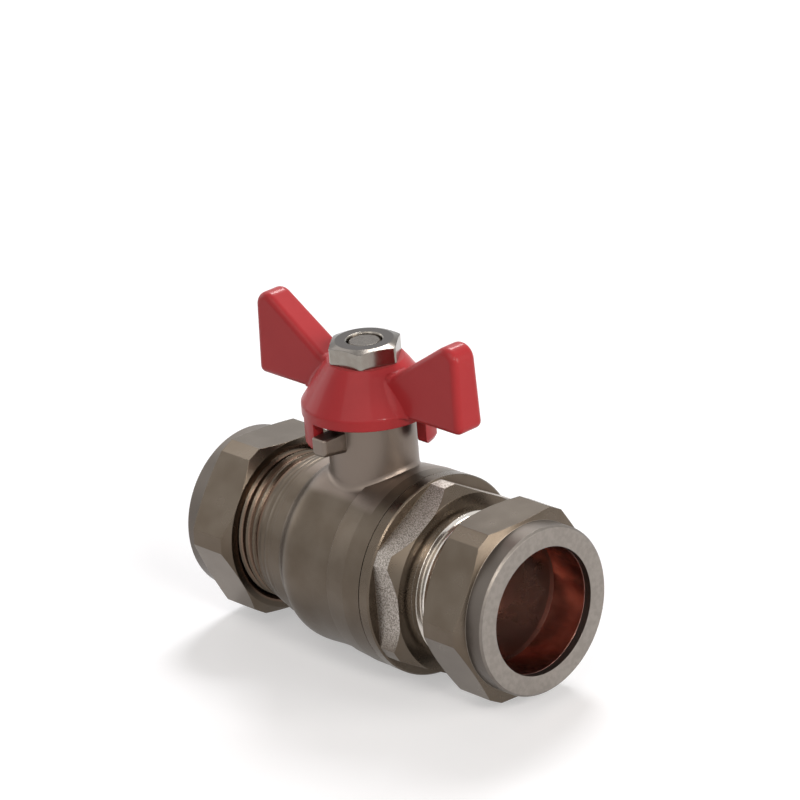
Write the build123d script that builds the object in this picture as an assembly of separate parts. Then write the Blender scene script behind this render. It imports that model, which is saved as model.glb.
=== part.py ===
from build123d import *
import os
from math import atan2, cos, hypot, radians, sin, sqrt

# A 22 mm compression isolating valve: a quarter turn ball valve with a butterfly handle.
# Millimetres, +Z up. The pipe axis lies along X and the stem axis along Z.
# Every piece is drawn about the point where those two axes cross, with the handle open.
# At the end all are moved together, so that the origin is on the ground under the valve's middle.

# Clearances
RUN_GAP = 0.05          # running fit of a turning piece in its bore, slot or seat
FACE_GAP = 0.1          # between faces of neighbouring pieces
STOP_GAP = 0.2          # stop leg to stop lug at both ends of the quarter turn
CUT = 1.0               # how far a cutter or a buried end runs past a face
HEX_POINT = 30.0        # degrees from a flat of a hexagon to its corner

# Bores and walls, outwards from the pipe axis
PIPE_BORE_R = 11.1      # passes a 22 mm tube
PIPE_STOP_HEIGHT = 2.1  # shoulder that the tube's end meets
BALL_LAND = 3.5         # ball's radius over that of its port
CHAMBER_ROOM = 0.9      # round the ball
BARREL_WALL = 3.3
BAND_RISE = 0.7         # thicker front end of the barrel
BAND_STEP = 0.35
FLANGE_RISE = 0.1       # connector's ring over the barrel's front end
FLANGE_FLAT_DEPTH = 2.0  # flats of the flange below its ring
NECK_WALL = 1.5         # to the mean radius of the G 3/4 thread
THREAD_PLAY = 0.7
NUT_WALL = 1.97         # between the nut's bore and its flats

# Lengths along the pipe
SOCKET_DEPTH = 14.5     # from a neck's end to the pipe stop
REAR_STOP_WALL = 1.5     # between the rear seat and the rear pipe stop
FRONT_STOP_SETBACK = 4.65  # front pipe stop, from the joint of body and connector
THREAD_LEAD = 0.4       # chamfer at the thread's end

# Compression nut
NUT_LENGTH = 12.4
CORNER_PLANING = 3.06   # across corners less across flats
COLLAR_STEP = 0.6       # collar below the flats
COLLAR_LENGTH = 3.5
COLLAR_EDGE = 0.35
FRONT_BEVEL = 0.75      # length of the steep bevel behind the collar
BACK_BEVEL = 1.1        # length of the bevel at the mouth
MOUTH_WIDENING = 0.65
LIP_LENGTH = 1.4
NUT_CONE_LENGTH = 3.6
FRONT_NUT_TURN = 0.0    # degrees about the pipe
REAR_NUT_TURN = -4.0

# Olive
OLIVE_LENGTH = 7.25
OLIVE_WALL = 0.9
OLIVE_END_WALL = 0.3
OLIVE_TAPER = 2.05
OLIVE_ENTRY = 1.65      # how far the olive reaches into the neck
MOUTH_CONE_REST = 0.95  # cone left beyond the olive

# Barrel of the body
BAND_LENGTH = 8.5
BAND_FLAT = 4.0
REAR_WALL = 1.2         # from the rear seat to the start of the rear taper
REAR_DROP = 0.5
REAR_SLOPE = 0.25
RING_COUNT = 3
RING_WIDTH = 2.25
RING_STEP = 0.6
RING_RISE = 1.0         # first ring over the thread

# End connector
FLANGE_EDGE = 0.25
FLANGE_RING_LENGTH = 2.4
FLANGE_HEX_LENGTH = 5.3
FLANGE_BEVEL = 2.0
FLANGE_BEVEL_DROP = 1.8
SPIGOT_LENGTH = 5.6
BARREL_THREAD_WALL = 2.6  # barrel's front end over the connector's spigot
SEAL_SECTION = 1.5

# Ball seats
SEAT_BACK = 1.5         # seat's back face, within the ball's radius
SEAT_LENGTH = 4.4
SEAT_STEP = 1.2         # seat's pocket within the chamber's radius
SPIGOT_SETBACK = 0.3

# Stem
STEM_R = 4.0
FOOT_RISE = 1.6
FOOT_HEIGHT = 2.0
FOOT_ABOVE_BALL = 0.5
TANG_WIDTH = 4.0
TANG_SETBACK = 0.9      # ends of the tang within the foot
TANG_DEPTH = 2.2
WASHER_HEIGHT = 1.0
GROOVE_DEPTH = 1.25
GROOVE_WIDTH = 1.6
GROOVE_HEIGHT = 3.6     # middle of the lower groove over the gland's floor
GROOVE_PITCH = 3.8
STEM_THREAD_DROP = 1.0
STEM_FLAT_DEPTH = 0.75
STEM_END_CHAMFER = 0.5
STEM_END_DEPTH = 0.25   # stem end below the top of the nut

# Neck and stop lug
GLAND_WALL = 3.6
GLAND_HEIGHT = 12.4
NECK_FILLET = 1.5
NECK_EDGE = 0.4
LUG_WIDTH = 3.3
LUG_OVERHANG = 0.85     # beyond the handle's skirt
LUG_DROP = 3.05         # top of the lug below that of the neck
LUG_HEIGHT = 3.1
LUG_ROOT_DROP = 0.75    # underside lower at the neck than at the tip
LUG_CORNER = 0.9
LUG_EDGE = 0.25
LUG_FRONT_ROUND = 0.7

# Handle
HUB_ROOM = 1.8          # between the neck and the inside of the skirt
SKIRT_WALL = 2.15
HUB_LIFT = 1.95         # rim of the hub over the stop lug
HUB_RIM_HEIGHT = 1.8
HUB_RIM_ROUND = 0.8
HUB_CONE_HEIGHT = 6.1
HUB_CONE_SLOPE = 0.68   # radius lost for each millimetre of height
HUB_CROWN_HEIGHT = 1.0
HUB_CROWN_STEP = 0.8
HUB_CEILING = 3.2
WING_SPAN = 12.75       # beyond the hub
WING_LIFT = 1.2         # underside of the wings over the hub's rim
WING_RISE = 10.3
WING_START = 1.0
WING_SETBACK = 0.9
WING_BASE_WIDTH = 6.0
WING_TIP_WIDTH = 5.0
WING_TIP_ROUND = 2.6
WING_FLARE = 0.3        # reach at the base beyond that at the tip
WING_BASE_ROUND = 1.3
WING_EDGE = 1.25
FAIRING_RADII = (2.2, 2.9, 2.9, 2.2, 0.9)  # hollow between wing and hub, at even heights
FAIRING_OVERLAP = 0.08
FAIRING_LIFT = 0.3      # over the underside of the wing
LEG_WIDTH = 3.6
LEG_EDGE = 0.7
LEG_ROUND = 1.0
QUARTER_TURN = 90.0

# Handle nut
HANDLE_NUT_WALL = 2.68
HANDLE_NUT_CORNER = 0.75
HANDLE_NUT_HEIGHT = 3.25
HANDLE_NUT_BEVEL_INSET = 0.7
HANDLE_NUT_BEVEL = 0.5
HANDLE_NUT_SINK = 0.2
HANDLE_NUT_TURN = 8.7   # degrees about the stem

# Radii that follow
PORT_R = PIPE_BORE_R - PIPE_STOP_HEIGHT
BALL_R = PORT_R + BALL_LAND
CHAMBER_R = BALL_R + CHAMBER_ROOM
BARREL_R = CHAMBER_R + BARREL_WALL
BARREL_FRONT_R = BARREL_R + BAND_RISE
BARREL_BACK_R = BARREL_R - REAR_DROP
FLANGE_R = BARREL_FRONT_R + FLANGE_RISE
FLANGE_FLAT = 2 * (FLANGE_R - FLANGE_FLAT_DEPTH)
FLANGE_TIP_R = FLANGE_R - FLANGE_BEVEL_DROP
SPIGOT_R = BARREL_FRONT_R - BARREL_THREAD_WALL
SEAT_R = CHAMBER_R - SEAT_STEP
THREAD_R = PIPE_BORE_R + NECK_WALL
SHOULDER_R = THREAD_R + RING_RISE
NUT_BORE_R = THREAD_R + THREAD_PLAY
MOUTH_R = NUT_BORE_R + MOUTH_WIDENING
NUT_FLAT = 2 * (NUT_BORE_R + NUT_WALL)
NUT_CORNER = NUT_FLAT + CORNER_PLANING
CORNER_R = NUT_CORNER / 2 + FACE_GAP
COLLAR_R = NUT_FLAT / 2 - COLLAR_STEP
BACK_FACE_R = NUT_FLAT / 2
MOUTH_CONE_R = PIPE_BORE_R + OLIVE_WALL + FACE_GAP

# Places along the pipe that follow, outwards from the stem axis
MOUTH_CONE_LENGTH = OLIVE_ENTRY + MOUTH_CONE_REST
NECK_END_DEPTH = LIP_LENGTH + OLIVE_LENGTH - OLIVE_ENTRY
SEAT_OUTER_X = BALL_R - SEAT_BACK
SEAT_INNER_X = SEAT_OUTER_X - SEAT_LENGTH
SPIGOT_X = SEAT_INNER_X + SPIGOT_SETBACK
JOINT_X = SPIGOT_X + SPIGOT_LENGTH
BAND_X = JOINT_X - BAND_LENGTH
FRONT_STOP_X = JOINT_X + FRONT_STOP_SETBACK
FRONT_END_X = FRONT_STOP_X + SOCKET_DEPTH
FRONT_FACE_X = FRONT_END_X + NECK_END_DEPTH
REAR_STOP_X = -(SEAT_OUTER_X + REAR_STOP_WALL)
REAR_END_X = REAR_STOP_X - SOCKET_DEPTH
REAR_FACE_X = REAR_END_X - NECK_END_DEPTH
BARREL_BACK_X = -(SEAT_INNER_X + REAR_WALL)
THREAD_END_X = BARREL_BACK_X - (RING_COUNT + 1) * RING_WIDTH

# Radii and heights about the stem that follow
FOOT_R = STEM_R + FOOT_RISE
STEM_THREAD_R = STEM_R - STEM_THREAD_DROP
STEM_FLATS = 2 * (STEM_THREAD_R - STEM_FLAT_DEPTH)
NECK_R = STEM_R + GLAND_WALL
HUB_R = NECK_R + HUB_ROOM + SKIRT_WALL
HUB_SHOULDER_R = HUB_R - HUB_CONE_SLOPE * HUB_CONE_HEIGHT
HUB_TOP_R = HUB_SHOULDER_R - HUB_CROWN_STEP
LUG_REACH = HUB_R + LUG_OVERHANG
LUG_HALF = LUG_WIDTH / 2
FOOT_Z = BALL_R + FOOT_ABOVE_BALL
WASHER_Z = FOOT_Z + FOOT_HEIGHT
GLAND_Z = WASHER_Z + WASHER_HEIGHT
NECK_TOP_Z = GLAND_Z + GLAND_HEIGHT
LUG_TOP_Z = NECK_TOP_Z - LUG_DROP
LEG_BASE_Z = LUG_TOP_Z - LUG_HEIGHT
HUB_BASE_Z = LUG_TOP_Z + HUB_LIFT
HUB_RIM_Z = HUB_BASE_Z + HUB_RIM_HEIGHT
HUB_SHOULDER_Z = HUB_RIM_Z + HUB_CONE_HEIGHT
HUB_TOP_Z = HUB_SHOULDER_Z + HUB_CROWN_HEIGHT
STEM_SEAT_Z = HUB_TOP_Z - HUB_CEILING
WING_REACH = HUB_R + WING_SPAN
WING_BASE_Z = HUB_BASE_Z + WING_LIFT
WING_ROOT_X = HUB_SHOULDER_R + WING_START
WING_ROOT_Z = HUB_TOP_Z - WING_SETBACK
WING_TIP_Z = WING_ROOT_Z + WING_RISE
HANDLE_NUT_TOP_Z = HUB_TOP_Z + HANDLE_NUT_HEIGHT
HANDLE_NUT_FLAT = 2 * (STEM_THREAD_R + HANDLE_NUT_WALL)
HANDLE_NUT_R = HANDLE_NUT_FLAT / 2 + HANDLE_NUT_CORNER
HANDLE_NUT_BEVEL_R = HANDLE_NUT_FLAT / 2 - HANDLE_NUT_BEVEL_INSET


def lowest_reach(turn):
    """How far below the pipe axis a compression nut reaches when turned by some degrees."""
    point = radians(HEX_POINT)
    half = (NUT_CORNER / 2 - NUT_FLAT / 2 * cos(point)) / sin(point)
    lean = atan2(half, NUT_FLAT / 2)
    return hypot(NUT_FLAT / 2, half) * cos(max(lean - abs(radians(turn)), 0))


AXIS_Z = max(FLANGE_R, lowest_reach(FRONT_NUT_TURN), lowest_reach(REAR_NUT_TURN))
MIDDLE_X = (FRONT_FACE_X + REAR_FACE_X) / 2


def turned_x(points):
    """Solid of revolution about the pipe axis from pairs of x and radius."""
    return revolve(make_face(Polyline(*[(x, 0, r) for x, r in points], close=True)), Axis.X)


def turned_z(points):
    """Solid of revolution about the stem axis from pairs of radius and z."""
    return revolve(make_face(Polyline(*[(r, 0, z) for r, z in points], close=True)), Axis.Z)


def rod_x(radius, x0, x1):
    return Pos((x0 + x1) / 2, 0, 0) * Rot(0, 90, 0) * Cylinder(radius, abs(x1 - x0))


def rod_z(radius, z0, z1):
    return Pos(0, 0, (z0 + z1) / 2) * Cylinder(radius, z1 - z0)


def block(x0, x1, y0, y1, z0, z1):
    return Pos((x0 + x1) / 2, (y0 + y1) / 2, (z0 + z1) / 2) * Box(x1 - x0, y1 - y0, z1 - z0)


def hexagon_x(across, x0, x1, turn):
    """Hexagonal bar along the pipe axis. It has a flat below when turn is 0."""
    bar = extrude(RegularPolygon(across / 2, 6, major_radius=False), abs(x1 - x0))
    return Pos(min(x0, x1), 0, 0) * Rot(turn + HEX_POINT, 0, 0) * Rot(0, 90, 0) * bar


def barrel():
    """Outside of the body, from the end of the rear neck to the joint with the end connector."""
    points = [(JOINT_X - RUN_GAP, 0), (REAR_END_X, 0), (REAR_END_X, THREAD_R - THREAD_LEAD)]
    points += [(REAR_END_X + THREAD_LEAD, THREAD_R), (THREAD_END_X, THREAD_R)]
    for k in range(RING_COUNT):
        x = THREAD_END_X + k * RING_WIDTH
        r = SHOULDER_R + k * RING_STEP
        points += [(x, r), (x + RING_WIDTH, r)]
    rear = Polyline(*[(x, 0, r) for x, r in points])
    swell = Spline(rear @ 1, (BARREL_BACK_X, 0, BARREL_BACK_R), (0, 0, BARREL_R),
                   tangents=[(1, 0, REAR_SLOPE), (1, 0, 0)])
    front = Polyline((0, 0, BARREL_R), (JOINT_X - RUN_GAP, 0, BARREL_R), (JOINT_X - RUN_GAP, 0, 0))
    return revolve(make_face(rear + swell + front), Axis.X)


def barrel_band():
    """Thicker front end of the barrel, round the thread of the end connector."""
    return turned_x([
        (BAND_X, BARREL_R - CUT), (BAND_X, BARREL_R), (BAND_X + BAND_STEP, BARREL_R + BAND_STEP),
        (JOINT_X - BAND_FLAT, BARREL_FRONT_R), (JOINT_X - RUN_GAP, BARREL_FRONT_R),
        (JOINT_X - RUN_GAP, BARREL_R - CUT),
    ])


def pipe_socket(end_x, stop_x, side):
    """Inside of a threaded neck: cone for the olive, pipe socket and pipe stop."""
    return turned_x([
        (end_x + side * CUT, 0), (end_x + side * CUT, MOUTH_CONE_R), (end_x, MOUTH_CONE_R),
        (end_x - side * MOUTH_CONE_LENGTH, PIPE_BORE_R), (stop_x, PIPE_BORE_R), (stop_x, 0),
    ])


def body_chamber():
    """Inside of the body between the pipe stop and the joint: port, seat pocket and chamber."""
    seal_x = JOINT_X - SEAL_SECTION
    seal_r = SPIGOT_R + SEAL_SECTION / 2
    return turned_x([
        (REAR_STOP_X - CUT, 0), (REAR_STOP_X - CUT, PORT_R), (-SEAT_OUTER_X, PORT_R),
        (-SEAT_OUTER_X, SEAT_R), (-SEAT_INNER_X, SEAT_R), (-SEAT_INNER_X, CHAMBER_R),
        (SPIGOT_X - FACE_GAP, CHAMBER_R), (SPIGOT_X - FACE_GAP, SPIGOT_R + RUN_GAP),
        (seal_x, SPIGOT_R + RUN_GAP), (seal_x, seal_r), (JOINT_X + CUT, seal_r), (JOINT_X + CUT, 0),
    ])


def stop_lug():
    """Square lug at the side of the neck, deeper at its root, which the handle's legs strike."""
    tip_z = LUG_TOP_Z - LUG_HEIGHT
    root_z = tip_z - LUG_ROOT_DROP
    side_view = make_face(Polyline(
        (0, -LUG_REACH, LUG_TOP_Z), (0, 0, LUG_TOP_Z), (0, 0, root_z), (0, -NECK_R, root_z),
        (0, -LUG_REACH, tip_z), close=True))
    lug = extrude(side_view, LUG_HALF, both=True)
    flanks = lug.faces().filter_by(Axis.X)
    lug = fillet(ShapeList(e for flank in flanks for e in flank.edges().sort_by(Axis.Z)[:2]), LUG_CORNER)
    uprights = lug.edges().filter_by(Axis.Z).group_by(Axis.Y)[0]
    lug = fillet(uprights, LUG_FRONT_ROUND)
    return chamfer(lug.faces().sort_by(Axis.Y)[0].edges(), LUG_EDGE)


def valve_body():
    shell = barrel()
    neck = rod_z(NECK_R, 0, NECK_TOP_Z)
    neck = chamfer(neck.edges().group_by(Axis.Z)[-1], NECK_EDGE)
    body = shell + neck
    body = fillet(new_edges(shell, neck, combined=body), NECK_FILLET)
    body = body + barrel_band() + stop_lug()
    gland = turned_z([
        (0, 0), (FOOT_R + FACE_GAP, 0), (FOOT_R + FACE_GAP, GLAND_Z), (STEM_R + RUN_GAP, GLAND_Z),
        (STEM_R + RUN_GAP, NECK_TOP_Z + CUT), (0, NECK_TOP_Z + CUT),
    ])
    return body - body_chamber() - pipe_socket(REAR_END_X, REAR_STOP_X, -1) - gland


def end_connector():
    ring_end = JOINT_X + FLANGE_RING_LENGTH
    hex_end = ring_end + FLANGE_HEX_LENGTH
    ring = rod_x(FLANGE_R, JOINT_X, ring_end)
    ring = chamfer(ring.edges().filter_by(GeomType.CIRCLE), FLANGE_EDGE)
    corner_r = FLANGE_R - FLANGE_EDGE
    bevel = turned_x([
        (ring_end - CUT, 0), (ring_end - CUT, corner_r), (hex_end - FLANGE_BEVEL, corner_r),
        (hex_end, FLANGE_TIP_R), (hex_end, 0),
    ])
    flange = ring + (hexagon_x(FLANGE_FLAT, ring_end - CUT, hex_end, HEX_POINT) & bevel)
    seal_x = JOINT_X - SEAL_SECTION
    turned = turned_x([
        (SPIGOT_X, 0), (SPIGOT_X, SPIGOT_R), (seal_x, SPIGOT_R), (seal_x, SPIGOT_R - SEAL_SECTION / 2),
        (JOINT_X + CUT, SPIGOT_R - SEAL_SECTION / 2), (JOINT_X + CUT, THREAD_R),
        (FRONT_END_X - THREAD_LEAD, THREAD_R), (FRONT_END_X, THREAD_R - THREAD_LEAD), (FRONT_END_X, 0),
    ])
    waterway = turned_x([
        (FRONT_STOP_X + CUT, 0), (FRONT_STOP_X + CUT, PORT_R), (SEAT_OUTER_X, PORT_R),
        (SEAT_OUTER_X, SEAT_R), (SPIGOT_X - CUT, SEAT_R), (SPIGOT_X - CUT, 0),
    ])
    return flange + turned - waterway - pipe_socket(FRONT_END_X, FRONT_STOP_X, 1)


def connector_seal():
    """Round ring in the corner between the flange, the spigot and the barrel."""
    section = Plane.XZ * Pos(JOINT_X - SEAL_SECTION / 2, SPIGOT_R) * Circle(SEAL_SECTION / 2 - RUN_GAP)
    return revolve(section, Axis.X)


def seat(side):
    """Ball seat, at the front with side 1 and at the rear with side -1."""
    ball_r = BALL_R + RUN_GAP
    outer_x = SEAT_OUTER_X - RUN_GAP
    ring_r = SEAT_R - RUN_GAP
    rim = (side * SEAT_INNER_X, 0, sqrt(ball_r ** 2 - SEAT_INNER_X ** 2))
    lip = (side * sqrt(ball_r ** 2 - PORT_R ** 2), 0, PORT_R)
    middle = Vector(rim[0] + lip[0], 0, rim[2] + lip[2]).normalized() * ball_r
    cup = ThreePointArc(rim, middle, lip)
    back = Polyline(lip, (side * outer_x, 0, PORT_R), (side * outer_x, 0, ring_r),
                    (side * SEAT_INNER_X, 0, ring_r), rim)
    return revolve(make_face(cup + back), Axis.X)


def ball():
    """Ball with its port along the pipe and, across its top, the slot for the stem's tang."""
    half = TANG_WIDTH / 2 + RUN_GAP
    slot = block(-half, half, -BALL_R, BALL_R, BALL_R - TANG_DEPTH - FACE_GAP, BALL_R + CUT)
    return Sphere(BALL_R) - rod_x(PORT_R, -BALL_R, BALL_R) - slot


def stem():
    points = [(0, FOOT_Z), (FOOT_R, FOOT_Z), (FOOT_R, WASHER_Z), (STEM_R, WASHER_Z)]
    for k in range(2):
        low = GLAND_Z + GROOVE_HEIGHT + k * GROOVE_PITCH - GROOVE_WIDTH / 2
        high = low + GROOVE_WIDTH
        floor_r = STEM_R - GROOVE_DEPTH
        points += [(STEM_R, low), (floor_r, low), (floor_r, high), (STEM_R, high)]
    top = HANDLE_NUT_TOP_Z - STEM_END_DEPTH
    points += [(STEM_R, STEM_SEAT_Z - RUN_GAP), (STEM_THREAD_R, STEM_SEAT_Z - RUN_GAP)]
    points += [(STEM_THREAD_R, top - STEM_END_CHAMFER), (STEM_THREAD_R - STEM_END_CHAMFER, top), (0, top)]
    solid = turned_z(points)
    flat_z = STEM_SEAT_Z - RUN_GAP
    solid -= block(STEM_FLATS / 2, STEM_R, -STEM_R, STEM_R, flat_z, HUB_TOP_Z)
    solid -= block(-STEM_R, -STEM_FLATS / 2, -STEM_R, STEM_R, flat_z, HUB_TOP_Z)
    half = TANG_WIDTH / 2
    end = FOOT_R - TANG_SETBACK
    return solid + block(-half, half, -end, end, BALL_R - TANG_DEPTH, FOOT_Z + FOOT_HEIGHT / 2)


def stem_thrust_washer():
    """Flat washer between the stem's foot and the shoulder inside the neck."""
    ring = rod_z(FOOT_R, WASHER_Z + RUN_GAP, GLAND_Z)
    return ring - rod_z(STEM_R + RUN_GAP, WASHER_Z, GLAND_Z + CUT)


def stem_o_ring(index):
    z = GLAND_Z + GROOVE_HEIGHT + index * GROOVE_PITCH
    section = Plane.XZ * Pos(STEM_R - GROOVE_DEPTH / 2, z) * Circle(GROOVE_DEPTH / 2 - RUN_GAP / 2)
    return revolve(section, Axis.Z)


def wing():
    """Wing towards the front: thinner at its top, with a sloping top edge and rounded edges."""
    side_view = make_face(Polyline(
        (0, 0, WING_BASE_Z), (WING_REACH + WING_FLARE, 0, WING_BASE_Z), (WING_REACH, 0, WING_TIP_Z),
        (WING_ROOT_X, 0, WING_ROOT_Z), (0, 0, WING_ROOT_Z), close=True))
    end_view = make_face(Polyline(
        (0, -WING_BASE_WIDTH / 2, WING_BASE_Z), (0, WING_BASE_WIDTH / 2, WING_BASE_Z),
        (0, WING_TIP_WIDTH / 2, WING_TIP_Z), (0, -WING_TIP_WIDTH / 2, WING_TIP_Z), close=True))
    slab = extrude(side_view, WING_BASE_WIDTH, both=True)
    slab = fillet(slab.edges().filter_by(Axis.Y).sort_by(Axis.Z)[-1], WING_TIP_ROUND)
    slab = fillet(slab.edges().filter_by(Axis.Y).sort_by(Axis.X)[-1], WING_BASE_ROUND)
    slab &= extrude(end_view, WING_REACH + 2 * CUT, both=True)
    sides = slab.faces().sort_by(Axis.Y)
    rims = ShapeList(sides[0].edges() + sides[-1].edges())
    rims = rims.filter_by(lambda e: e.center().X > WING_EDGE)
    return fillet(rims, WING_EDGE)


def fairing():
    """Hollows that lead the sides of the front wing into the hub, drawn in level sections."""
    sections = []
    low = WING_BASE_Z + FAIRING_LIFT
    high = HUB_SHOULDER_Z - WING_EDGE / 2
    for k, hollow in enumerate(FAIRING_RADII):
        z = low + (high - low) * k / (len(FAIRING_RADII) - 1)
        share = (z - WING_BASE_Z) / (WING_TIP_Z - WING_BASE_Z)
        half = (WING_BASE_WIDTH + (WING_TIP_WIDTH - WING_BASE_WIDTH) * share) / 2 - FAIRING_OVERLAP
        hub_r = HUB_R - HUB_CONE_SLOPE * max(z - HUB_RIM_Z, 0) - FAIRING_OVERLAP
        out = sqrt((hub_r + hollow) ** 2 - (half + hollow) ** 2)
        centre = Vector(out, half + hollow, z)
        to_hub = Vector(-out, -half - hollow, 0).normalized()
        on_hub = centre + to_hub * hollow
        middle = centre + (to_hub + Vector(0, -1, 0)).normalized() * hollow
        arc = ThreePointArc(on_hub, middle, (out, half, z))
        other = arc.mirror(Plane.XZ)
        sections.append(make_face(arc + other + Line(arc @ 1, other @ 1) + Line(arc @ 0, other @ 0)))
    return loft(sections)


def leg_space(side):
    """Block that a stop leg fills: side -1 is met when open, side 1 when closed."""
    inner = side * (LUG_HALF + STOP_GAP)
    outer = inner + side * LEG_WIDTH
    space = block(min(inner, outer), max(inner, outer), -HUB_R - 2 * CUT, 0, LEG_BASE_Z, HUB_TOP_Z)
    space = fillet(space.edges().filter_by(Axis.Y).group_by(Axis.Z)[0], LEG_ROUND)
    return space if side < 0 else space.rotate(Axis.Z, QUARTER_TURN)


def handle():
    """Cast handle: a hollow conical hub with two wings, and two stop legs below its rim."""
    inner_r = HUB_R - SKIRT_WALL
    hub = turned_z([
        (0, LEG_BASE_Z), (HUB_R - LEG_EDGE / 2, LEG_BASE_Z), (HUB_R, LEG_BASE_Z + LEG_EDGE),
        (HUB_R, HUB_RIM_Z), (HUB_SHOULDER_R, HUB_SHOULDER_Z), (HUB_TOP_R, HUB_TOP_Z), (0, HUB_TOP_Z),
    ])
    rim = hub.edges().filter_by(lambda e: abs(e.center().Z - HUB_RIM_Z) < RUN_GAP)
    hub = fillet(rim, HUB_RIM_ROUND)
    front = wing() + fairing()
    solid = hub + front + front.rotate(Axis.Z, 180)
    solid -= turned_z([
        (0, LEG_BASE_Z - CUT), (inner_r, LEG_BASE_Z - CUT), (inner_r, HUB_RIM_Z),
        (inner_r - HUB_CONE_SLOPE * (STEM_SEAT_Z - HUB_RIM_Z), STEM_SEAT_Z), (0, STEM_SEAT_Z),
    ])
    waste = rod_z(HUB_R + CUT, LEG_BASE_Z - CUT, HUB_BASE_Z)
    waste -= rod_z(inner_r - CUT, LEG_BASE_Z - 2 * CUT, HUB_BASE_Z + CUT)
    solid -= waste - leg_space(-1) - leg_space(1)
    half = STEM_FLATS / 2 + RUN_GAP
    eye = rod_z(STEM_THREAD_R + RUN_GAP, HUB_BASE_Z, HUB_TOP_Z + CUT)
    return solid - (eye & block(-half, half, -STEM_R, STEM_R, HUB_BASE_Z, HUB_TOP_Z + CUT))


def handle_nut():
    nut = extrude(RegularPolygon(HANDLE_NUT_FLAT / 2, 6, major_radius=False), HANDLE_NUT_HEIGHT)
    nut = Pos(0, 0, HUB_TOP_Z) * nut.rotate(Axis.Z, HANDLE_NUT_TURN)
    bevel_z = HANDLE_NUT_TOP_Z - HANDLE_NUT_BEVEL
    nut &= turned_z([
        (0, HUB_TOP_Z), (HANDLE_NUT_R, HUB_TOP_Z), (HANDLE_NUT_R, bevel_z),
        (HANDLE_NUT_BEVEL_R, HANDLE_NUT_TOP_Z), (0, HANDLE_NUT_TOP_Z),
    ])
    bore_r = STEM_THREAD_R + RUN_GAP
    return nut - turned_z([
        (0, HUB_TOP_Z - CUT), (bore_r, HUB_TOP_Z - CUT), (bore_r, HANDLE_NUT_TOP_Z - HANDLE_NUT_SINK),
        (bore_r + HANDLE_NUT_SINK, HANDLE_NUT_TOP_Z), (0, HANDLE_NUT_TOP_Z),
    ])


def compression_nut(face_x, side, turn):
    """Six flats with planed corners behind a round collar. It opens towards the middle."""

    def at(depth):
        return face_x - side * depth

    nut = hexagon_x(NUT_FLAT, at(0), at(NUT_LENGTH), turn)
    nut &= hexagon_x(NUT_CORNER, at(0), at(NUT_LENGTH), turn + HEX_POINT)
    nut &= turned_x([
        (at(0), 0), (at(0), COLLAR_R - COLLAR_EDGE), (at(COLLAR_EDGE), COLLAR_R),
        (at(COLLAR_LENGTH), COLLAR_R), (at(COLLAR_LENGTH + FRONT_BEVEL), CORNER_R),
        (at(NUT_LENGTH - BACK_BEVEL), CORNER_R), (at(NUT_LENGTH), BACK_FACE_R), (at(NUT_LENGTH), 0),
    ])
    cone_r = PIPE_BORE_R + OLIVE_END_WALL + FACE_GAP
    return nut - turned_x([
        (at(-CUT), 0), (at(-CUT), PIPE_BORE_R), (at(LIP_LENGTH), PIPE_BORE_R), (at(LIP_LENGTH), cone_r),
        (at(LIP_LENGTH + NUT_CONE_LENGTH), NUT_BORE_R), (at(NUT_LENGTH - MOUTH_WIDENING), NUT_BORE_R),
        (at(NUT_LENGTH), MOUTH_R), (at(NUT_LENGTH + CUT), MOUTH_R), (at(NUT_LENGTH + CUT), 0),
    ])


def olive(face_x, side):
    """Soft ring with a cylindrical middle that tapers to both ends, seated against the nut's lip."""
    start = face_x - side * (LIP_LENGTH + RUN_GAP)
    end = start - side * (OLIVE_LENGTH - RUN_GAP)
    end_r = PIPE_BORE_R + OLIVE_END_WALL
    ridge_r = PIPE_BORE_R + OLIVE_WALL
    return turned_x([
        (start, PIPE_BORE_R), (start, end_r), (start - side * OLIVE_TAPER, ridge_r),
        (end + side * OLIVE_TAPER, ridge_r), (end, end_r), (end, PIPE_BORE_R),
    ])


def pieces():
    """Every separate piece by its name."""
    return {
        "valve_body": valve_body(),
        "end_connector": end_connector(),
        "connector_seal": connector_seal(),
        "seat_rear": seat(-1),
        "seat_front": seat(1),
        "ball": ball(),
        "stem": stem(),
        "stem_thrust_washer": stem_thrust_washer(),
        "stem_o_ring_lower": stem_o_ring(0),
        "stem_o_ring_upper": stem_o_ring(1),
        "handle": handle(),
        "handle_nut": handle_nut(),
        "compression_nut_front": compression_nut(FRONT_FACE_X, 1, FRONT_NUT_TURN),
        "compression_nut_rear": compression_nut(REAR_FACE_X, -1, REAR_NUT_TURN),
        "olive_front": olive(FRONT_FACE_X, 1),
        "olive_rear": olive(REAR_FACE_X, -1),
    }


os.makedirs("parts", exist_ok=True)
to_ground = Pos(-MIDDLE_X, 0, AXIS_Z)
for name, piece in pieces().items():
    placed = to_ground * piece
    export_step(placed, f"parts/{name}.step")
    print(name, "volume", round(placed.volume, 1), "solids", len(placed.solids()))
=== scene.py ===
# %% [markdown]
# # An isolating valve, dressed from its solids
# The valve is already modelled as solids, one for each separate piece. This notebook gives every
# piece the finish of the real one, cuts the screw threads, and sets up the light and the camera.
# The first cell loads the solids. They keep their places, and everything else is built round them.

# %% Load the valve
import bpy
from math import cos, pi, radians, sin
from mathutils import Matrix, Vector


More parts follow.
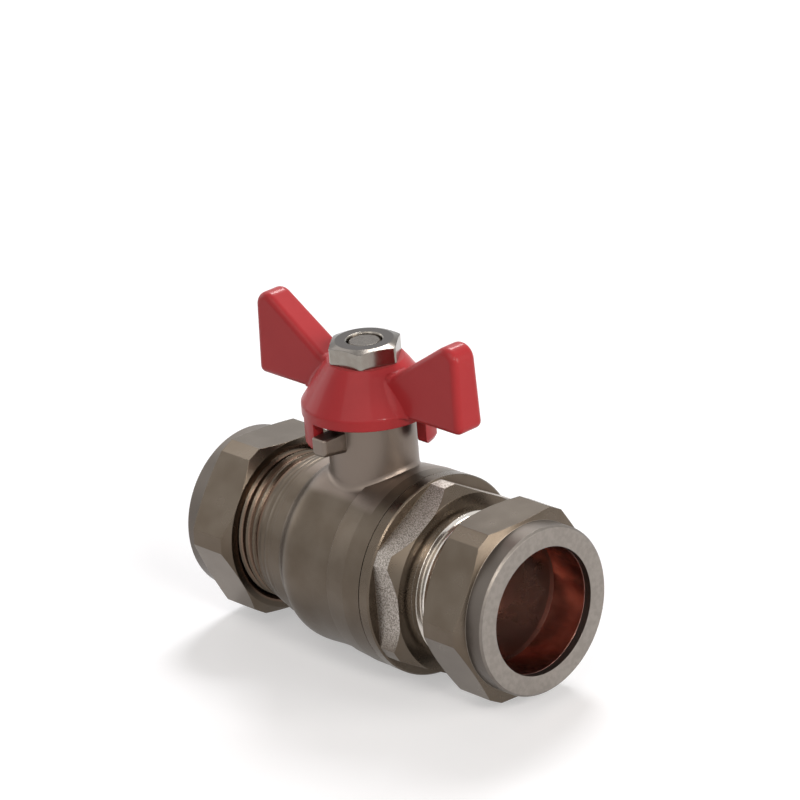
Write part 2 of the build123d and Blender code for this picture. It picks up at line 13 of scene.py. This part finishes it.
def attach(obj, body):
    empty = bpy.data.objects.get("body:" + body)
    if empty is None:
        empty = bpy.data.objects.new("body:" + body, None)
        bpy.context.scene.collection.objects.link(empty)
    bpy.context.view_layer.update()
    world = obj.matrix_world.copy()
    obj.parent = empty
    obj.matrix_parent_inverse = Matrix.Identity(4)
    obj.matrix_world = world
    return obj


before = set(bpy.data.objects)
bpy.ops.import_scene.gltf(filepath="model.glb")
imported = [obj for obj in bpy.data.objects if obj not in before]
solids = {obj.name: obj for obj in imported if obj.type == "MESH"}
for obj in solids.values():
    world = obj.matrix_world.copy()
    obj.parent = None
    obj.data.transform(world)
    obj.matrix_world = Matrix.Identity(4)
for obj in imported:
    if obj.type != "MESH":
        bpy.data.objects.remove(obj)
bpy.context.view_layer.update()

# %% [markdown]
# ## Where things are
# Lengths in a workshop are millimetres and Blender's are metres, so one factor turns the first
# into the second. The valve is described from the point where the stem's axis crosses the pipe's.

# %% Millimetres and the crossing of the axes
MM = 0.001
CROSSING = Vector((-2.325, 0.0, 17.5)) * MM
print("crossing of the axes:", tuple(CROSSING))

# %% [markdown]
# ## Camera
# The valve was photographed from fairly far away with a long lens, which keeps its two nuts almost
# equal in size. An azimuth and an elevation say from where it is seen. The picture also leans by a
# few degrees. The axes of the camera are worked out from those angles and put in its matrix.

# %% Camera
AZIMUTH = radians(48.059)
ELEVATION = radians(22.356)
LEAN = radians(-4.803)
FOCUS_PIXELS = 4478.8
PICTURE_PIXELS = 800
CAMERA_PLACE = Vector((521.82, -461.99, 314.48)) * MM

back = Vector((sin(AZIMUTH) * cos(ELEVATION), -cos(AZIMUTH) * cos(ELEVATION), sin(ELEVATION)))
level_right = Vector((cos(AZIMUTH), sin(AZIMUTH), 0))
level_up = back.cross(level_right)
right = level_right * cos(LEAN) + level_up * sin(LEAN)
up = level_up * cos(LEAN) - level_right * sin(LEAN)

lens = bpy.data.cameras.new("photo_camera")
lens.sensor_width = 36
lens.lens = FOCUS_PIXELS / PICTURE_PIXELS * lens.sensor_width
lens.clip_start = 0.01
lens.clip_end = 20
camera = bpy.data.objects.new("photo_camera", lens)
bpy.context.scene.collection.objects.link(camera)
axes = Matrix((right, up, back)).transposed().to_4x4()
camera.matrix_world = Matrix.Translation(CROSSING + CAMERA_PLACE) @ axes
bpy.context.scene.camera = camera
print("focal length", round(lens.lens, 1), "mm")

# %% [markdown]
# ## Writing node trees as sums
# Materials and Geometry Nodes are both networks of nodes. Linking them by hand is slow to read, so
# a small class wraps one output of a node. A sum or product written with it adds a Math node, and
# one method of the tree adds any other node with its settings and the values of its sockets.

# %% Wire and Tree
class Wire:
    """One output of a node. Arithmetic written with it becomes Math nodes."""

    def __init__(self, tree, socket):
        self.tree = tree
        self.socket = socket

    def other(self, name):
        return Wire(self.tree, self.socket.node.outputs[name])

    def math(self, operation, *values):
        return self.tree.node("ShaderNodeMath", {"operation": operation}, dict(enumerate(values)))

    def __add__(self, value):
        return self.math("ADD", self, value)

    def __sub__(self, value):
        return self.math("SUBTRACT", self, value)

    def __rsub__(self, value):
        return self.math("SUBTRACT", value, self)

    def __mul__(self, value):
        return self.math("MULTIPLY", self, value)

    def __truediv__(self, value):
        return self.math("DIVIDE", self, value)

    def __pow__(self, value):
        return self.math("POWER", self, value)

    def __abs__(self):
        return self.math("ABSOLUTE", self)

    __radd__ = __add__
    __rmul__ = __mul__

    def least(self, value):
        return self.math("MINIMUM", self, value)

    def most(self, value):
        return self.math("MAXIMUM", self, value)

    def below(self, value):
        return self.math("LESS_THAN", self, value)

    def sine(self):
        return self.math("SINE", self)

    def cosine(self):
        return self.math("COSINE", self)

    def step(self, low, high):
        """0 below low, 1 above high, and a smooth rise between them."""
        sockets = {"Value": self, "From Min": low, "From Max": high}
        return self.tree.node("ShaderNodeMapRange", {"interpolation_type": "SMOOTHSTEP"}, sockets)


class Tree:
    """A node tree to which nodes are added by type, settings and sockets."""

    def __init__(self, tree):
        self.tree = tree
        tree.nodes.clear()

    def node(self, kind, settings=None, sockets=None, output=0):
        """Adds a node, makes its settings, sets or links its sockets and gives one output."""
        made = self.tree.nodes.new(kind)
        for name, value in (settings or {}).items():
            setattr(made, name, value)
        for name, value in (sockets or {}).items():
            if isinstance(value, Wire):
                self.tree.links.new(value.socket, made.inputs[name])
            else:
                made.inputs[name].default_value = value
        return Wire(self, made.outputs[output]) if made.outputs else made

    def mix_colors(self, share, first, second):
        """The first colour where share is 0 and the second where it is 1."""
        colors = [(*c, 1) if isinstance(c, tuple) else c for c in (first, second)]
        sockets = {0: share, 6: colors[0], 7: colors[1]}
        return self.node("ShaderNodeMix", {"data_type": "RGBA"}, sockets, output=2)


print("helpers ready")

# %% [markdown]
# ## Finishes
# Every finish starts in the same way: a Principled shader, and the place of each point on the
# valve, taken from Object coordinates so that a pattern stays put on its piece. The distance from
# the pipe's axis is often needed, because most of the valve was turned on a lathe round it.

# %% A material with places measured on it
class Finish(Tree):
    """A Principled material, with each point's place in millimetres from the axes' crossing."""

    def __init__(self, name, **shader):
        self.material = bpy.data.materials.new(name)
        self.material.use_nodes = True
        super().__init__(self.material.node_tree)
        output = self.tree.nodes.new("ShaderNodeOutputMaterial")
        self.shader = self.tree.nodes.new("ShaderNodeBsdfPrincipled")
        self.tree.links.new(self.shader.outputs[0], output.inputs["Surface"])
        for socket, value in shader.items():
            self.shader.inputs[socket.replace("_", " ")].default_value = value
        self.place = self.node("ShaderNodeTexCoord", output="Object")
        x = self.node("ShaderNodeSeparateXYZ", sockets={0: self.place})
        self.x = (x - CROSSING.x) / MM
        self.y = x.other("Y") / MM
        self.z = (x.other("Z") - CROSSING.z) / MM
        self.radius = (self.y * self.y + self.z * self.z) ** 0.5

    def grain(self, size, detail=2.0):
        """Noise from 0 to 1 whose lumps are about size millimetres across."""
        return self.node("ShaderNodeTexNoise", sockets={
            "Vector": self.place, "Scale": 1 / (size * MM), "Detail": detail})

    def between(self, x0, x1, soft=0.1):
        """1 from x0 to x1, in millimetres along the pipe, and 0 elsewhere."""
        return self.x.step(x0 - soft, x0) * (1 - self.x.step(x1, x1 + soft))

    def feed(self, socket, value):
        self.tree.links.new(value.socket, self.shader.inputs[socket])

    def relief(self, height, depth, edge=0.15):
        """Bumps of some depth in millimetres, over edges that are rounded a little."""
        edges = self.node("ShaderNodeBevel", {"samples": 4}, {"Radius": edge * MM})
        bumps = self.node("ShaderNodeBump", sockets={
            "Height": height, "Distance": depth * MM, "Normal": edges})
        self.feed("Normal", bumps)


def give(finish, *names):
    """Puts a finish on pieces of the valve."""
    for name in names:
        slots = solids[name].data.materials
        slots.clear()
        slots.append(finish.material)
    print(finish.material.name, "on", ", ".join(names))


# %% [markdown]
# ## Nickel plate
# The body, the connector and the nuts are brass castings and turnings with a thin satin layer of
# nickel, a warm brownish grey that mirrors its surroundings softly. Fine rings run round the pipe
# where a tool has cut, and a cast skin is finely rough. The valve mirrors white surroundings on
# every side, so the plate's colours are those that it shows in a white room.
#
# The same plate looks different over some stretches of the pipe. So a plate first gathers its
# colour, roughness and height, more may be laid over it, and in the end they are connected.

# %% Nickel plate
NICKEL = (0.116, 0.091, 0.068), (0.136, 0.110, 0.085)


class Plate(Finish):
    """Nickel plate of some roughness, with a cast skin and turned lines."""

    def __init__(self, name, satin=0.24, skin=0.15, lines=0.0, shade=1.0):
        super().__init__(name, Metallic=1.0)
        clouds = self.grain(5.0)
        self.specks = self.grain(0.2, detail=4.0)
        rings = self.node("ShaderNodeTexNoise", {"noise_dimensions": "1D"}, {
            "W": self.x, "Scale": 5.0, "Detail": 3.0})
        dull, clean = (tuple(shade * part for part in color) for color in NICKEL)
        self.color = self.mix_colors(clouds.step(0.3, 0.7), dull, clean)
        self.rough = satin + 0.05 * clouds + 0.06 * skin * self.specks
        self.height = skin * self.specks + lines * rings
        facing = self.node("ShaderNodeNewGeometry", output="True Normal")
        self.lean = abs(self.node("ShaderNodeSeparateXYZ", sockets={0: facing}))

    def cover(self, share, color):
        """Lays a colour over the plate where share is 1."""
        self.color = self.mix_colors(share, self.color, color)

    def connect(self):
        self.feed("Base Color", self.color)
        self.feed("Roughness", self.rough)
        self.relief(self.height, 0.02)


print("plate ready")

# %% [markdown]
# ### Turned stretches
# A stretch is given by the places along the pipe where it begins and ends. A nut's matt collar is
# pale and blotched on its end face and darker round its rim: the end face is known by how far it
# leans along the pipe. The connector's threaded neck is polished, so smoother, and it is painted
# much lighter than the plate: painted light, for the highlight that it catches. The upright neck
# that carries the stem is painted lighter above a height: painted light, for the lamplight on it.
# Where the body's thread runs out, a few wide rings are left.

# %% Collar, necks and run-out
PITCH_MM = 1.814
BLOTCHED = (0.235, 0.212, 0.19), (0.27, 0.245, 0.22)
RIM = (0.125, 0.108, 0.094)
END_FACE_LEANS = 0.5, 0.9
POLISH_AND_PAINTED_LIGHT = (0.68, 0.64, 0.59)
NECK_RADIUS = 12.3, 12.5
UPRIGHT_PAINTED_LIGHT = (0.19, 0.155, 0.13)
LIGHT_PAINTED_ABOVE = 13.5, 14.5


def collar(plate, x0, x1):
    here = plate.between(x0, x1)
    blotches = plate.grain(0.9, detail=3.0)
    plate.cover(here, plate.mix_colors(blotches.step(0.35, 0.65), *BLOTCHED))
    plate.cover(here * (1 - plate.lean.step(*END_FACE_LEANS)), RIM)
    plate.rough = plate.rough + 0.14 * here
    plate.height = plate.height + 0.8 * here * blotches


def polished_neck_painted_light(plate, x0, x1):
    # Painted light: the neck is much lighter than the plate, standing in for its highlight; it is
    # also polished, so smoother.
    here = plate.between(x0, x1) * plate.radius.step(*NECK_RADIUS)
    plate.cover(here, POLISH_AND_PAINTED_LIGHT)
    plate.rough = plate.rough - 0.1 * here


def upright_neck_painted_light(plate, x0, x1):
    # Painted light: above this height the body is painted lighter, for the lamplight that falls on
    # the upright neck.
    plate.cover(plate.between(x0, x1) * plate.z.step(*LIGHT_PAINTED_ABOVE), UPRIGHT_PAINTED_LIGHT)


def run_out(plate, x0, x1):
    wound = plate.x * (2 * pi / PITCH_MM)
    plate.height = plate.height + 2.5 * plate.between(x0, x1) * wound.sine()


print("turned stretches ready, pitch", PITCH_MM, "mm")

# %% [markdown]
# ### Painted shade in grooves, and cast grain
# A groove is painted brown up to some distance from the pipe's axis: painted shade in the thread
# roots and the nuts' bores. The inside of a socket shows reddish brass. Other places were left as
# cast, with a rough and sparkling grain: the nuts' bevels, which lean halfway along the pipe, and
# the upper flats of the connector's hexagon, which don't lean at all and lie outside the barrel's
# round. On the flats the grain is also painted light: it is much lighter than the plate, and only
# the upper flats get it, for the light from above.

# %% Grooves, sockets and cast grain
BROWN_PAINTED_SHADE = (0.19, 0.13, 0.095)
SOCKET = (0.36, 0.23, 0.19)
SOCKET_RADIUS = 11.4, 11.5
BEVEL_GRAIN = (0.66, 0.62, 0.57), (0.98, 0.95, 0.90)
BEVEL_LEANS_FROM = 0.15, 0.3
BEVEL_LEANS_TO = 0.85, 0.95
FLAT_GRAIN_PAINTED_LIGHT = (0.18, 0.155, 0.135), (0.46, 0.42, 0.38)
FLAT_LEANS_TO = 0.05, 0.1
FLAT_RADIUS = 15.26, 15.3
FLAT_LIGHT_PAINTED_ABOVE = -10, -2


def groove_painted_shade(plate, x0, x1, radius):
    # Painted shade: brown in the thread roots and the nuts' bores, for the shade in these hollows.
    shaded = plate.between(x0, x1) * (1 - plate.radius.step(radius, radius + 0.25))
    plate.cover(shaded, BROWN_PAINTED_SHADE)


def socket(plate, x0, x1):
    plate.cover(plate.between(x0, x1) * (1 - plate.radius.step(*SOCKET_RADIUS)), SOCKET)


def as_cast(plate, share, grain):
    plate.cover(share, plate.mix_colors(plate.specks.step(0.38, 0.62), *grain))
    plate.rough = plate.rough + 0.18 * share
    plate.height = plate.height + 1.2 * share * plate.specks


def cast_bevels(plate, x0, x1):
    leaning = plate.lean.step(*BEVEL_LEANS_FROM) * (1 - plate.lean.step(*BEVEL_LEANS_TO))
    as_cast(plate, plate.between(x0, x1) * leaning, BEVEL_GRAIN)


def cast_flats_painted_light(plate, x0, x1):
    # Painted light: only the upper flats get this grain, much lighter than the plate, for the light
    # from above.
    level = 1 - plate.lean.step(*FLAT_LEANS_TO)
    outside = level * plate.radius.step(*FLAT_RADIUS) * plate.z.step(*FLAT_LIGHT_PAINTED_ABOVE)
    as_cast(plate, plate.between(x0, x1) * outside, FLAT_GRAIN_PAINTED_LIGHT)


print("thin plate and cast grain ready")

# %% [markdown]
# ### Plating the brass pieces
# The body has the roughest skin, the connector is smoother, and the nuts are smoothest.

# %% Plate the body and the connector
body_plate = Plate("nickel_cast_body", satin=0.33, skin=0.9, lines=0.2, shade=0.9)
run_out(body_plate, -16.4, -13.6)
groove_painted_shade(body_plate, -27.1, -17.0, radius=12.62)
upright_neck_painted_light(body_plate, -12.0, 10.0)
body_plate.connect()
give(body_plate, "valve_body")

connector_plate = Plate("nickel_connector", skin=0.4, lines=0.2, shade=0.94)
polished_neck_painted_light(connector_plate, 20.3, 32.0)
cast_flats_painted_light(connector_plate, 15.0, 20.3)
socket(connector_plate, 10.0, 36.0)
connector_plate.connect()
give(connector_plate, "end_connector")

# %% Plate the two nuts
front_plate = Plate("nickel_front_nut", skin=0.04)
collar(front_plate, 35.2, 39.0)
cast_bevels(front_plate, 34.35, 35.15)
groove_painted_shade(front_plate, 26.0, 33.9, radius=14.2)
front_plate.connect()
give(front_plate, "compression_nut_front")

rear_plate = Plate("nickel_rear_nut", skin=0.04)
collar(rear_plate, -35.0, -30.6)
cast_bevels(rear_plate, -30.55, -29.75)
groove_painted_shade(rear_plate, -29.2, -21.3, radius=14.2)
rear_plate.connect()
give(rear_plate, "compression_nut_rear")

# %% [markdown]
# ## Bright plate
# The small nut on top is plated more brightly, so it is smoother and less warm. Its top face is
# painted much darker than its sides, as painted shade, and it is known by facing upwards.

# %% Bright plate
BRIGHT_SIDES = (0.25, 0.225, 0.195), (0.29, 0.27, 0.24)
BRIGHT_TOP_PAINTED_SHADE = (0.07, 0.06, 0.055)
bright = Finish("bright_plate", Metallic=1.0)
stains = bright.grain(1.6, detail=3.0)
sides = bright.mix_colors(stains.step(0.3, 0.7), *BRIGHT_SIDES)
facing = bright.node("ShaderNodeNewGeometry", output="True Normal")
upwards = bright.node("ShaderNodeSeparateXYZ", sockets={0: facing}, output="Z")
# Painted shade: the upward-facing top face gets a much darker colour than the sides.
bright.feed("Base Color", bright.mix_colors(upwards.step(0.9, 0.97), sides, BRIGHT_TOP_PAINTED_SHADE))
bright.feed("Roughness", 0.16 + 0.05 * stains)
bright.relief(stains, 0.001, edge=0.2)
give(bright, "handle_nut")

# %% [markdown]
# ## Red coating
# The handle is an alloy casting under a thick glossy red coating, so it has rounded edges and a
# slight orange peel. A clear coat gives the sharp highlight, over a red that varies very little.

# %% Red coating
RED = (0.385, 0.024, 0.029), (0.455, 0.033, 0.038)
red = Finish("red_coating", Roughness=0.4, Specular_IOR_Level=0.12, Coat_Weight=0.2,
             Coat_Roughness=0.1)
peel = red.grain(0.9, detail=1.0)
shades = red.grain(8.0)
red.feed("Base Color", red.mix_colors(shades, *RED))
red.relief(peel, 0.01, edge=0.35)
give(red, "handle")

# %% [markdown]
# ## Copper, brass, chrome, plastic and rubber
# The olives are polished copper. The pieces inside the valve are seen only when it is taken apart
# or looked into through a socket: a raw brass stem whose end in the nut is plated, a chromed ball,
# white seats and black rings.

# %% Copper olives
COPPER = (0.68, 0.34, 0.29), (0.84, 0.46, 0.39)
copper = Finish("olive_copper", Metallic=1.0)
tarnish = copper.grain(5.0)
copper.feed("Base Color", copper.mix_colors(tarnish.step(0.3, 0.7), *COPPER))
copper.feed("Roughness", 0.12 + 0.06 * tarnish)
copper.relief(tarnish, 0.01, edge=0.1)
give(copper, "olive_front", "olive_rear")

# %% Brass stem
PLATED_ABOVE = 34.0, 34.5
brass = Finish("raw_brass", Metallic=1.0)
marks = brass.grain(0.8)
raw = brass.mix_colors(marks, (0.58, 0.42, 0.20), (0.72, 0.55, 0.30))
plated = brass.mix_colors(marks, (0.09, 0.078, 0.068), (0.13, 0.115, 0.10))
brass.feed("Base Color", brass.mix_colors(brass.z.step(*PLATED_ABOVE), raw, plated))
brass.feed("Roughness", 0.22 + 0.12 * marks)
brass.relief(marks, 0.003)
give(brass, "stem")

# %% Chromed ball
chrome = Finish("chromed_ball", Metallic=1.0)
film = chrome.grain(4.0)
chrome.feed("Base Color", chrome.mix_colors(film, (0.72, 0.73, 0.74), (0.82, 0.82, 0.82)))
chrome.feed("Roughness", 0.05 + 0.06 * film)
chrome.relief(film, 0.005)
give(chrome, "ball")

# %% Plastic seats and rubber rings
seats = Finish("seat_plastic", Subsurface_Weight=0.1)
wax = seats.grain(1.5)
seats.feed("Base Color", seats.mix_colors(wax, (0.80, 0.80, 0.77), (0.88, 0.88, 0.86)))
seats.feed("Roughness", 0.42 + 0.12 * wax)
seats.relief(wax, 0.01)
give(seats, "seat_rear", "seat_front", "stem_thrust_washer")

rubber = Finish("black_rubber")
bloom = rubber.grain(0.8)
rubber.feed("Base Color", rubber.mix_colors(bloom, (0.012, 0.012, 0.012), (0.03, 0.03, 0.03)))
rubber.feed("Roughness", 0.5 + 0.2 * bloom)
rubber.relief(bloom, 0.01)
give(rubber, "connector_seal", "stem_o_ring_lower", "stem_o_ring_upper")

# %% [markdown]
# ## Screw threads
# Each nut runs on a thread round the pipe. A thread is one ridge that winds along the axis, so its
# shape follows a rule and Geometry Nodes can make it: a narrow grid is bent round the axis. Its
# five rows of points run along the near foot, the near edge of the tip, the far edge of the tip,
# the far foot, and the near foot again. At both ends the tooth sinks back into the wall, as it does
# where a cutting tool runs in and out. The neck's tooth and the nut's share one pitch and lie half a
# pitch apart, so that the nut really can be unscrewed along the neck.

# %% Thread tree
STEPS_PER_TURN = 96
ROWS = 5
TIP_ROWS = 0.375
FAR_ROWS = 0.625
ROW_REACH = 0.2
RUN_INS_PER_TURN = 3
WELD = 0.002 * MM
thread = bpy.data.node_groups.new("screw_thread", "GeometryNodeTree")
for name in ("Start", "Turns", "Pitch", "Wall radius", "Tooth height", "Foot width", "Tip width"):
    thread.interface.new_socket(name, in_out="INPUT", socket_type="NodeSocketFloat")
thread.interface.new_socket("Finish", in_out="INPUT", socket_type="NodeSocketMaterial")
thread.interface.new_socket("Geometry", in_out="OUTPUT", socket_type="NodeSocketGeometry")

bench = Tree(thread)
size = bench.node("NodeGroupInput")
turns = size.other("Turns")
strip = bench.node("GeometryNodeMeshGrid", sockets={
    "Vertices X": turns * STEPS_PER_TURN + 1, "Vertices Y": ROWS})
along = bench.node("ShaderNodeSeparateXYZ", sockets={0: strip.other("UV Map")})
across = along.other("Y")
at_tip = abs(across - TIP_ROWS).below(ROW_REACH)
far_side = abs(across - FAR_ROWS).below(ROW_REACH)
half_width = (size.other("Foot width") * (1 - at_tip) + size.other("Tip width") * at_tip) * 0.5
from_start = along * turns
to_end = (1 - along) * turns
run_in = (from_start * RUN_INS_PER_TURN).least(to_end * RUN_INS_PER_TURN).least(1.0).most(0.0)
turned = from_start * (2 * pi)
tooth_radius = size.other("Wall radius") + size.other("Tooth height") * at_tip * run_in
middle_x = size.other("Start") + from_start * size.other("Pitch")
tooth_x = middle_x + half_width * (far_side * 2 - 1)
tooth = bench.node("ShaderNodeCombineXYZ", sockets={
    "X": tooth_x + CROSSING.x,
    "Y": tooth_radius * turned.cosine(),
    "Z": tooth_radius * turned.sine() + CROSSING.z})
wound = bench.node("GeometryNodeSetPosition", sockets={"Geometry": strip, "Position": tooth})
welded = bench.node("GeometryNodeMergeByDistance", sockets={
    "Geometry": wound, "Distance": WELD})
real = bench.node("GeometryNodeRealizeInstances", sockets={"Geometry": welded})
painted = bench.node("GeometryNodeSetMaterial", sockets={
    "Geometry": real, "Material": size.other("Finish")})
bench.node("NodeGroupOutput", sockets={"Geometry": painted})
print("thread tree with", len(thread.nodes), "nodes")

# %% A way to cut a thread
PITCH = PITCH_MM * MM
FOOT_WIDTH = 1.15 * MM
TIP_WIDTH = 0.3 * MM


def cut_thread(name, body, finish, start, turns, wall, height):
    """Winds one thread and lets it ride on a body of the valve. Lengths are in metres."""
    maker = bpy.data.objects.new(name, bpy.data.meshes.new(name))
    bpy.context.scene.collection.objects.link(maker)
    nodes = maker.modifiers.new("thread", "NODES")
    nodes.node_group = thread
    values = {"Start": start, "Turns": turns, "Pitch": PITCH, "Wall radius": wall,
              "Tooth height": height, "Foot width": FOOT_WIDTH, "Tip width": TIP_WIDTH,
              "Finish": finish.material}
    for item in thread.interface.items_tree:
        if item.name in values:
            nodes[item.identifier] = values[item.name]
    bpy.context.view_layer.update()
    evaluated = maker.evaluated_get(bpy.context.evaluated_depsgraph_get())
    mesh = bpy.data.meshes.new_from_object(evaluated)
    bpy.data.objects.remove(maker)
    mesh.name = name
    mesh.shade_smooth()
    mesh.set_sharp_from_angle(angle=radians(35))
    piece = bpy.data.objects.new(name, mesh)
    bpy.context.scene.collection.objects.link(piece)
    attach(piece, body)
    print(name, len(mesh.polygons), "faces")


print("pitch", PITCH, "m")

# %% Plate the threads
neck_plate = Plate("nickel_thread")
groove_painted_shade(neck_plate, -27.1, -16.8, radius=12.72)
polished_neck_painted_light(neck_plate, 20.3, 32.0)
neck_plate.connect()
nut_plate = Plate("nickel_nut_thread")
groove_painted_shade(nut_plate, -29.2, 34.0, radius=14.0)
nut_plate.connect()
print("plate for the threads of the necks and the nuts")

# %% Cut the four threads
NECK_WALL = 12.55 * MM
NUT_WALL = 13.35 * MM
TOOTH = 0.62 * MM
FRONT_START = 20.9 * MM
REAR_START = -26.75 * MM
cut_thread("neck_thread_front", "valve", neck_plate, FRONT_START, 5.7, NECK_WALL, TOOTH)
cut_thread("neck_thread_rear", "valve", neck_plate, REAR_START, 5.0, NECK_WALL, TOOTH)
front_nut_start = FRONT_START + 3.5 * PITCH
rear_nut_start = REAR_START - 0.5 * PITCH
cut_thread("nut_thread_front", "nut_front", nut_plate, front_nut_start, 3.4, NUT_WALL, -TOOTH)
cut_thread("nut_thread_rear", "nut_rear", nut_plate, rear_nut_start, 2.9, NUT_WALL, -TOOTH)

# %% [markdown]
# ## Floor and sky
# The valve stands on a pale floor in a soft studio. Floor and sky are lifted towards white for the
# camera, and for what metal mirrors or glass lets through, so they look like a white page, and the
# floor still takes the valve's soft shadow. To matt faces they send back only a little warm light.

# %% Floor
def background_share(tree):
    """1 for the camera and for mirrored and transmitted rays, and 0 for all others."""
    path = tree.node("ShaderNodeLightPath")
    return path.most(path.other("Is Glossy Ray")).most(path.other("Is Transmission Ray"))


REACH = 6
WARM_PAPER = (0.50, 0.46, 0.42)
WHITE_PAPER = (0.66, 0.66, 0.68)
LIFT = 0.405
corners = [(-REACH, -REACH, 0), (REACH, -REACH, 0), (REACH, REACH, 0), (-REACH, REACH, 0)]
floor_mesh = bpy.data.meshes.new("floor")
floor_mesh.from_pydata(corners, [], [(0, 1, 2, 3)])
floor = bpy.data.objects.new("floor", floor_mesh)
bpy.context.scene.collection.objects.link(floor)
page = bpy.data.materials.new("page")
page.use_nodes = True
paper = Tree(page.node_tree)
shown = background_share(paper)
tint = paper.mix_colors(shown, WARM_PAPER, WHITE_PAPER)
matt = paper.node("ShaderNodeBsdfDiffuse", sockets={"Color": tint})
glow = paper.node("ShaderNodeEmission", sockets={"Strength": shown * LIFT})
both = paper.node("ShaderNodeAddShader", sockets={0: matt, 1: glow})
paper.node("ShaderNodeOutputMaterial", sockets={"Surface": both})
floor_mesh.materials.append(page)
print("floor", 2 * REACH, "m wide")

# %% Sky
WARM_SKY = {"Color": (1.0, 0.88, 0.78, 1), "Strength": 0.09}
WHITE_SKY = {"Color": (1, 1, 1, 1), "Strength": 1.0}
world = bpy.data.worlds.new("studio")
bpy.context.scene.world = world
world.use_nodes = True
sky = Tree(world.node_tree)
warm = sky.node("ShaderNodeBackground", sockets=WARM_SKY)
white = sky.node("ShaderNodeBackground", sockets=WHITE_SKY)
mixed = sky.node("ShaderNodeMixShader", sockets={0: background_share(sky), 1: warm, 2: white})
sky.node("ShaderNodeOutputWorld", sockets={"Surface": mixed})
print("sky ready")

# %% [markdown]
# ## Lamps
# Soft square panels hang one metre from the valve. Each is placed by an angle round the valve,
# counted from the camera towards its right, and by its height above the floor as an angle. The
# strongest hangs behind the valve, so the shadow falls towards the camera. The others stand round
# it, and a small one looks into the open socket.

# %% Lamps
WARM = (1.0, 0.96, 0.91)
camera_side = Vector((back.x, back.y, 0)).normalized()


def hang_panel(name, around, height, side, power, color=(1, 1, 1)):
    """Hangs a square panel that faces the valve. Angles are in degrees, the side in metres."""
    light = bpy.data.lights.new(name, "AREA")
    light.shape = "SQUARE"
    light.size = side
    light.energy = power
    light.color = color
    level = camera_side * cos(radians(around)) + level_right * sin(radians(around))
    away = level * cos(radians(height)) + Vector((0, 0, sin(radians(height))))
    lamp = bpy.data.objects.new(name, light)
    bpy.context.scene.collection.objects.link(lamp)
    lamp.location = CROSSING + away
    lamp.rotation_euler = (-away).to_track_quat("-Z", "Y").to_euler()
    print(name, power, "W")


hang_panel("key_panel", 165, 52, 0.30, 6.2)
hang_panel("back_left_panel", 210, 45, 0.45, 0.8)
hang_panel("low_left_panel", 240, 18, 0.45, 0.9)
hang_panel("front_panel", 330, 45, 0.80, 2.7, WARM)
hang_panel("low_right_panel", 60, 18, 0.45, 5.0, WARM)
hang_panel("socket_panel", 20, 32, 0.20, 2.6, WARM)
bpy.context.scene.view_settings.view_transform = "Standard"
